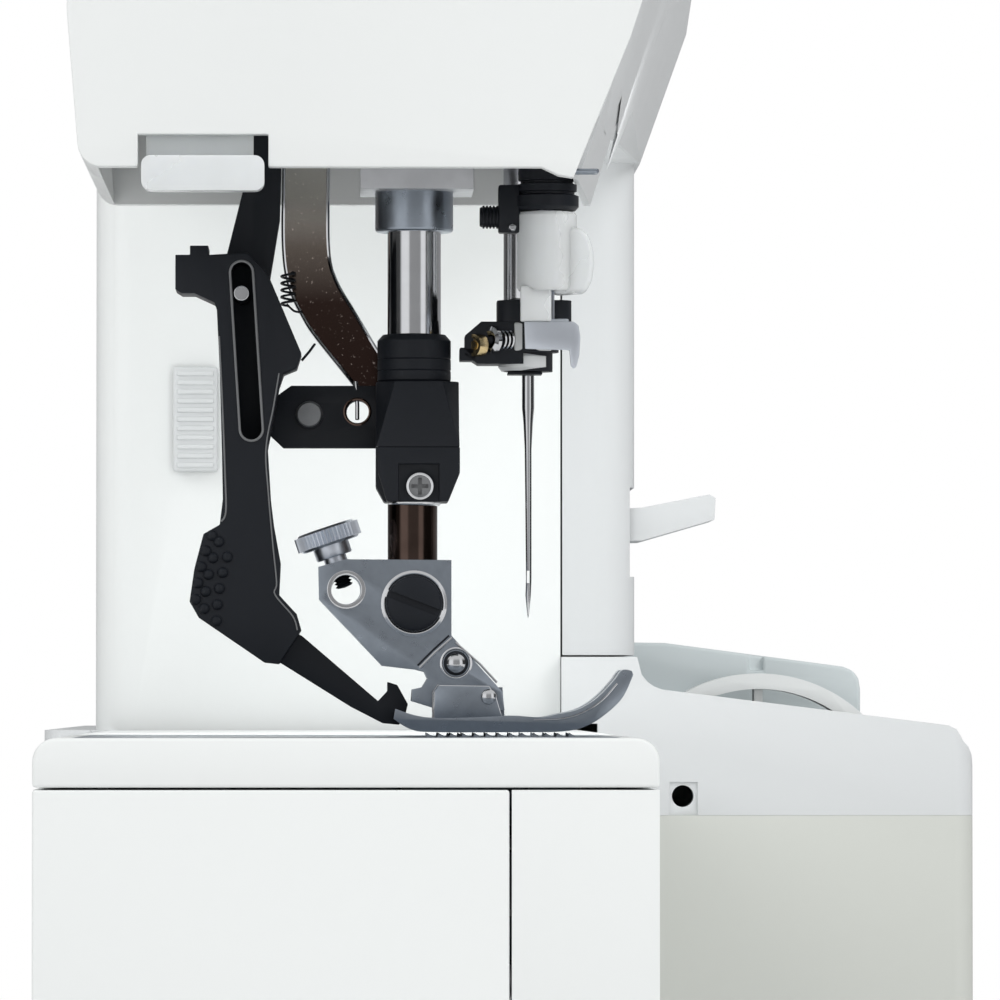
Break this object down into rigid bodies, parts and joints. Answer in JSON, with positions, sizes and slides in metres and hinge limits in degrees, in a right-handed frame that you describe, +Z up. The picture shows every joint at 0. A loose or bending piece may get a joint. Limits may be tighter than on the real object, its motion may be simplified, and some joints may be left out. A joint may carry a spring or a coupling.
{
  "type": "free-arm sewing machine",
  "caption": "Free-arm household sewing machine with a top-feed arm behind the presser foot, needle threader, handwheel, folding carrying handle and drive train.",
  "frame": {"origin": "centre of the overall box, on the table plane under the rubber feet", "axes": "+Z up, operator side is -Y, needle end is -X, handwheel end is +X"},
  "size_m": [0.42, 0.145, 0.3076],
  "materials": {
    "white_plastic": "fine satin moulding",
    "grey_plastic": "satin",
    "blue_grey_plastic": "satin",
    "black_plastic": "matte",
    "milky_plastic": "translucent",
    "satin_steel": "satin plated",
    "polished_steel": "polished",
    "brown_nickel": "mirror, dark brown",
    "brass": "satin",
    "cast_aluminium": "as cast",
    "motor_steel": "satin black",
    "rubber": "matte"
  },
  "bodies": {
    "machine": {"base_lower_cover": "white_plastic", "base_upper_cover": "grey_plastic", "rubber_feet": "rubber", "free_arm_casing": "white_plastic", "free_arm_top_cover": "white_plastic", "free_arm_end_panel": "white_plastic", "needle_plate": "satin_steel", "bobbin_case": "polished_steel", "rear_casing": "white_plastic", "front_panel": "grey_plastic", "face_cover": "white_plastic", "arm_frame": "cast_aluminium", "presser_bush": "satin_steel", "motor": "motor_steel", "drive_belts": "rubber", "wheel_housing": "blue_grey_plastic", "spool_pin": "grey_plastic", "power_socket": "black_plastic", "thread_guide": "satin_steel"},
    "bobbin_door": {"bobbin_door": "white_plastic"},
    "feed_carrier": {"feed_carrier": "satin_steel"},
    "feed_dog": {"feed_dog": "satin_steel"},
    "hook_drive": {"rotary_hook": "polished_steel", "hook_shaft": "satin_steel", "hook_pulley": "black_plastic"},
    "bobbin": {"bobbin": "milky_plastic"},
    "main_shaft": {"main_shaft": "satin_steel", "handwheel": "grey_plastic", "crank": "satin_steel", "drive_pulleys": "black_plastic"},
    "motor_pulley": {"motor_pulley": "satin_steel"},
    "needle_bar_frame": {"needle_bar_frame": "cast_aluminium"},
    "needle_bar": {"needle_bar": "polished_steel", "needle_clamp": "black_plastic", "needle": "polished_steel", "clamp_screws": "brass"},
    "connecting_link": {"connecting_link": "satin_steel"},
    "threader": {"threader_sleeve": "milky_plastic", "threader_hook": "satin_steel", "threader_collars": "black_plastic"},
    "threader_handle": {"threader_handle": "milky_plastic"},
    "presser_bar": {"presser_bar": "polished_steel", "presser_block": "black_plastic", "presser_screws": "satin_steel", "ankle": "satin_steel", "foot_pin": "polished_steel", "feed_bracket": "black_plastic", "feed_lift_lever": "brown_nickel"},
    "thumb_screw": {"thumb_screw": "satin_steel"},
    "presser_sole": {"presser_sole": "satin_steel"},
    "feed_link": {"feed_link": "black_plastic", "feed_link_pin": "polished_steel"},
    "feed_arm": {"feed_arm": "black_plastic"},
    "feed_drop_slide": {"feed_drop_slide": "grey_plastic"},
    "reverse_lever": {"reverse_lever": "grey_plastic"},
    "selector_wheel": {"selector_wheel": "white_plastic"},
    "take_up_lever": {"take_up_lever": "polished_steel"},
    "tension_dial": {"tension_dial": "grey_plastic"},
    "carrying_handle": {"carrying_handle": "grey_plastic"},
    "power_switch": {"power_switch": "black_plastic"}
  },
  "joints": [
    {"name": "handwheel_spin", "type": "hinge", "parent": "machine", "child": "main_shaft", "pos_m": [0, 0.002, 0.235], "axis": [1, 0, 0], "continuous": true},
    {"name": "hook_spin", "type": "hinge", "parent": "machine", "child": "hook_drive", "pos_m": [0, 0.005, 0.048], "axis": [1, 0, 0], "continuous": true},
    {"name": "motor_spin", "type": "hinge", "parent": "machine", "child": "motor_pulley", "pos_m": [0.1, 0.02, 0.12], "axis": [1, 0, 0], "continuous": true},
    {"name": "bobbin_spin", "type": "hinge", "parent": "machine", "child": "bobbin", "pos_m": [-0.17, 0.005, 0.048], "axis": [1, 0, 0], "continuous": true},
    {"name": "bobbin_door_swing", "type": "hinge", "parent": "machine", "child": "bobbin_door", "pos_m": [-0.14, -0.011, 0.045], "axis": [0, 0, 1], "range_deg": [0, 95]},
    {"name": "feed_drop", "type": "slide", "parent": "machine", "child": "feed_carrier", "axis": [0, 0, 1], "range_m": [-0.0021, 0]},
    {"name": "feed_stroke", "type": "slide", "parent": "feed_carrier", "child": "feed_dog", "axis": [0, 1, 0], "range_m": [-0.0015, 0.0015]},
    {"name": "feed_drop_control", "type": "slide", "parent": "machine", "child": "feed_drop_slide", "axis": [0, 0, 1], "range_m": [-0.006, 0]},
    {"name": "needle_bar_swing", "type": "slide", "parent": "machine", "child": "needle_bar_frame", "axis": [1, 0, 0], "range_m": [-0.0035, 0.0035]},
    {"name": "needle_bar_stroke", "type": "slide", "parent": "needle_bar_frame", "child": "needle_bar", "axis": [0, 0, 1], "range_m": [-0.031, 0]},
    {"name": "link_swing", "type": "hinge", "parent": "needle_bar", "child": "connecting_link", "pos_m": [-0.17, 0.002, 0.196], "axis": [1, 0, 0], "range_deg": [-15, 15]},
    {"name": "threader_drop", "type": "slide", "parent": "needle_bar_frame", "child": "threader", "axis": [0, 0, 1], "range_m": [-0.03, 0]},
    {"name": "threader_pull", "type": "slide", "parent": "machine", "child": "threader_handle", "axis": [0, 0, 1], "range_m": [-0.03, 0], "stiffness_N_per_m": 8, "springref_m": 0.012},
    {"name": "presser_lift", "type": "slide", "parent": "machine", "child": "presser_bar", "axis": [0, 0, 1], "range_m": [0, 0.005]},
    {"name": "sole_tilt", "type": "hinge", "parent": "presser_bar", "child": "presser_sole", "pos_m": [-0.17, 0.0072, 0.0791], "axis": [1, 0, 0], "range_deg": [0, 4.1]},
    {"name": "thumb_screw_turn", "type": "hinge", "parent": "presser_bar", "child": "thumb_screw", "pos_m": [-0.17, 0.0258, 0.09305], "axis": [0, 0.319, 0.9478], "continuous": true},
    {"name": "top_feed_swing", "type": "hinge", "parent": "machine", "child": "feed_link", "pos_m": [-0.17, 0.036, 0.16], "axis": [1, 0, 0], "range_deg": [0, 3]},
    {"name": "top_feed_lift", "type": "slide", "parent": "feed_link", "child": "feed_arm", "axis": [0, 0.0636, 0.998], "range_m": [0, 0.005]},
    {"name": "reverse_press", "type": "hinge", "parent": "machine", "child": "reverse_lever", "pos_m": [0.029, -0.014, 0.106], "axis": [1, 0, 0], "range_deg": [0, 10], "stiffness_Nm_per_rad": 0.5, "springref_deg": -5.73},
    {"name": "selector_turn", "type": "hinge", "parent": "machine", "child": "selector_wheel", "pos_m": [0.095, -0.0435, 0.0577], "axis": [1, 0, 0], "continuous": true},
    {"name": "take_up_swing", "type": "hinge", "parent": "machine", "child": "take_up_lever", "pos_m": [-0.154, 0.031, 0.227], "axis": [1, 0, 0], "range_deg": [-4, 32]},
    {"name": "tension_turn", "type": "hinge", "parent": "machine", "child": "tension_dial", "pos_m": [-0.112, 0.02, 0.275], "axis": [1, 0, 0], "range_deg": [-135, 135]},
    {"name": "handle_raise", "type": "hinge", "parent": "machine", "child": "carrying_handle", "pos_m": [-0.035, 0.0085, 0.287], "axis": [1, 0, 0], "range_deg": [0, 90]},
    {"name": "power_rocker", "type": "hinge", "parent": "machine", "child": "power_switch", "pos_m": [0.192, 0.002, 0.035], "axis": [0, 1, 0], "range_deg": [-14, 0]}
  ],
  "couplings": [
    {"joint": "hook_spin", "follows": "handwheel_spin", "ratio": 2},
    {"joint": "motor_spin", "follows": "handwheel_spin", "ratio": 3},
    {"joint": "feed_drop", "follows": "feed_drop_control", "ratio": 0.35},
    {"joint": "threader_drop", "follows": "threader_pull", "ratio": 1},
    {"joint": "sole_tilt", "follows": "presser_lift", "rad_per_m": 14}
  ]
}
